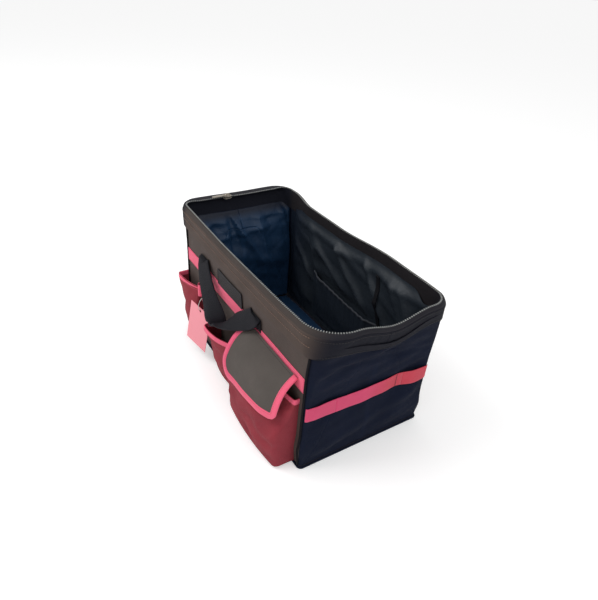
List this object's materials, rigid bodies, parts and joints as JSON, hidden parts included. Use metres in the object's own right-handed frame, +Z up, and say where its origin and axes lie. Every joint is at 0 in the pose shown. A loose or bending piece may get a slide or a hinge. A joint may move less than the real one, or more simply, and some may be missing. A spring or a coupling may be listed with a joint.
{
  "type": "open-mouth tool bag",
  "caption": "Rectangular fabric tool bag with a wire-framed mouth that folds shut, webbing handles, a flap pocket, open pockets, pen loops and a blank hang tag.",
  "frame": {"origin": "centre of the base panel's underside", "axes": "+Z up; +X along the bag to its right end, as seen from the front; the outside pockets are on the front, which faces -Y"},
  "size_m": [0.5195, 0.3574, 0.2737],
  "materials": {
    "black_canvas": "coarse black-brown canvas",
    "navy_canvas": "coarse navy canvas",
    "navy_satin": "smooth navy lining",
    "black_satin": "smooth black lining",
    "pink_webbing": "ribbed pink webbing",
    "burgundy_fabric": "burgundy canvas",
    "dark_grey_fabric": "dark grey canvas",
    "strap_webbing": "dark webbing",
    "zip_tape": "woven grey zip tape",
    "black_trim": "black woven trim",
    "steel_wire": "drawn steel wire",
    "slider_metal": "cast zip metal",
    "tag_card": "coated card, blank",
    "nylon": "clear nylon"
  },
  "bodies": {
    "base": {"base_panel": "black_canvas", "base_board": "navy_satin", "base_piping": "black_trim", "end_panel_left": "navy_canvas", "end_panel_right": "navy_canvas", "end_corner_left_front": "navy_canvas", "end_corner_left_rear": "navy_canvas", "end_corner_right_front": "navy_canvas", "end_corner_right_rear": "navy_canvas", "end_lining_left": "navy_satin", "end_lining_right": "navy_satin", "end_strip_left": "pink_webbing", "end_strip_right": "pink_webbing"},
    "front_wall": {"front_wall": "black_canvas", "front_lining": "black_satin", "front_band": "black_canvas", "front_strip": "pink_webbing", "front_zip_tape": "zip_tape", "front_handle_tab_left": "strap_webbing", "front_handle_tab_right": "strap_webbing", "front_piping_left": "black_trim", "front_piping_right": "black_trim", "front_patch": "dark_grey_fabric", "flap_pocket": "burgundy_fabric", "flap_pocket_binding": "pink_webbing", "middle_pocket": "burgundy_fabric", "middle_pocket_binding": "pink_webbing", "left_pocket": "burgundy_fabric", "left_pocket_binding": "pink_webbing", "pen_loops": "pink_webbing", "pocket_loop_strip": "black_trim", "tag_ring": "nylon"},
    "front_frame": {"front_frame_wire": "steel_wire", "front_rim_left": "zip_tape", "front_rim_right": "zip_tape", "front_rim_end_left": "zip_tape", "front_rim_end_right": "zip_tape"},
    "rear_wall": {"rear_wall": "black_canvas", "rear_lining": "black_satin", "rear_band": "black_canvas", "rear_strip": "pink_webbing", "rear_zip_tape": "zip_tape", "rear_handle_tab_left": "strap_webbing", "rear_handle_tab_right": "strap_webbing", "rear_piping_left": "black_trim", "rear_piping_right": "black_trim", "inner_pocket": "black_satin"},
    "rear_frame": {"rear_frame_wire": "steel_wire", "rear_rim_left": "zip_tape", "rear_rim_right": "zip_tape", "rear_rim_end_left": "zip_tape", "rear_rim_end_right": "zip_tape"},
    "front_handle": {"front_handle": "strap_webbing"},
    "rear_handle": {"rear_handle": "strap_webbing"},
    "flap": {"pocket_flap": "dark_grey_fabric", "flap_binding": "pink_webbing", "flap_hook_strip": "black_trim"},
    "slider": {"zip_slider": "slider_metal"},
    "puller": {"zip_puller": "slider_metal"},
    "tag": {"hang_tag": "tag_card"}
  },
  "joints": [
    {"name": "front_wall_fold", "type": "hinge", "parent": "base", "child": "front_wall", "pos_m": [0, -0.121, 0.0053], "axis": [-1, 0, 0], "range_deg": [0, 24.5], "deforming": ["end_corner_left_front", "end_corner_right_front", "end_strip_left", "end_strip_right"]},
    {"name": "front_frame_fold", "type": "hinge", "parent": "front_wall", "child": "front_frame", "pos_m": [0, -0.1225, 0.2652], "axis": [-1, 0, 0], "range_deg": [0, 65.5], "deforming": ["front_rim_end_left", "front_rim_end_right"]},
    {"name": "rear_wall_fold", "type": "hinge", "parent": "base", "child": "rear_wall", "pos_m": [0, 0.121, 0.0053], "axis": [1, 0, 0], "range_deg": [0, 24.5], "deforming": ["end_corner_left_rear", "end_corner_right_rear", "end_strip_left", "end_strip_right"]},
    {"name": "rear_frame_fold", "type": "hinge", "parent": "rear_wall", "child": "rear_frame", "pos_m": [0, 0.1225, 0.2652], "axis": [1, 0, 0], "range_deg": [0, 65.5], "deforming": ["rear_rim_end_left", "rear_rim_end_right"]},
    {"name": "front_handle_swing", "type": "hinge", "parent": "front_wall", "child": "front_handle", "pos_m": [-0.034, -0.1313, 0.205], "axis": [-1, 0, 0], "range_deg": [0, 136]},
    {"name": "rear_handle_swing", "type": "hinge", "parent": "rear_wall", "child": "rear_handle", "pos_m": [-0.034, 0.1313, 0.205], "axis": [1, 0, 0], "range_deg": [0, 136]},
    {"name": "flap_lift", "type": "hinge", "parent": "front_wall", "child": "flap", "pos_m": [0.1465, -0.1288, 0.18], "axis": [-1, 0, 0], "range_deg": [0, 70]},
    {"name": "slider_slide", "type": "slide", "parent": "front_frame", "child": "slider", "axis": [0, -1, 0], "range_m": [0, 0.043]},
    {"name": "puller_swing", "type": "hinge", "parent": "slider", "child": "puller", "pos_m": [-0.251, -0.0268, 0.2729], "axis": [-1, 0, 0], "range_deg": [0, 180]},
    {"name": "tag_swing", "type": "hinge", "parent": "front_wall", "child": "tag", "pos_m": [-0.1051, -0.152, 0.1128], "axis": [-0.9724, -0.2334, 0], "range_deg": [0, 50]}
  ],
  "couplings": [
    {"joint": "front_frame_fold", "follows": "front_wall_fold", "ratio": 2.6735},
    {"joint": "rear_frame_fold", "follows": "rear_wall_fold", "ratio": 2.6735}
  ]
}
